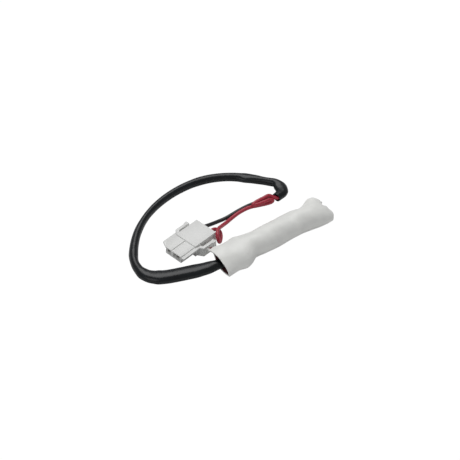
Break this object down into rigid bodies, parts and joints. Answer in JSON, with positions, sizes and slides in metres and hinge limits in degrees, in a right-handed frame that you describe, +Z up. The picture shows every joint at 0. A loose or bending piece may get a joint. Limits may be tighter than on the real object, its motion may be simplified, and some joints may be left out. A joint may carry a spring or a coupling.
{
  "type": "thermal fuse",
  "caption": "Pellet thermal fuse in a soft white sleeve, with two insulated leads in a black tube that loops back to a keyed white plug.",
  "frame": {"origin": "on the floor, under the middle of the white sleeve's own box", "axes": "+X along the sleeve from its mouth to its far end, +Y towards the plug, +Z up"},
  "size_m": [0.0988, 0.0674, 0.0115],
  "materials": {
    "sleeve_vinyl": "soft white vinyl, slightly translucent, matt",
    "clear_liner": "clear insulating tube",
    "case_brass": "drawn metal case, plated",
    "tinned_lead": "tin-plated copper wire",
    "white_ceramic": "fired ceramic",
    "amber_epoxy": "cured sealing resin",
    "spring_steel": "spring steel",
    "contact_silver": "silver-plated contact",
    "pellet_wax": "pressed organic pellet",
    "splice_tin": "tin-plated crimp ferrule",
    "strand_copper": "bare stranded copper",
    "red_insulation": "smooth red insulation",
    "black_insulation": "smooth black insulation",
    "black_soft_tube": "soft black tube, satin",
    "plug_nylon": "natural white nylon",
    "terminal_tin": "tin-plated sheet contact"
  },
  "bodies": {
    "root": {"vinyl_sleeve": "sleeve_vinyl", "inner_tube": "clear_liner", "fuse_case": "case_brass", "case_lead": "tinned_lead", "isolated_lead": "tinned_lead", "ceramic_bushing": "white_ceramic", "epoxy_seal": "amber_epoxy", "trip_spring": "spring_steel", "star_contact": "contact_silver", "spring_disc_front": "spring_steel", "spring_disc_rear": "spring_steel", "barrel_spring": "spring_steel", "thermal_pellet": "pellet_wax", "crimp_red": "splice_tin", "crimp_black": "splice_tin", "red_strands": "strand_copper", "black_strands": "strand_copper", "red_wire": "red_insulation", "black_wire": "black_insulation", "black_tube": "black_soft_tube", "plug_housing": "plug_nylon", "terminal_red": "terminal_tin", "terminal_black": "terminal_tin"}
  },
  "joints": []
}
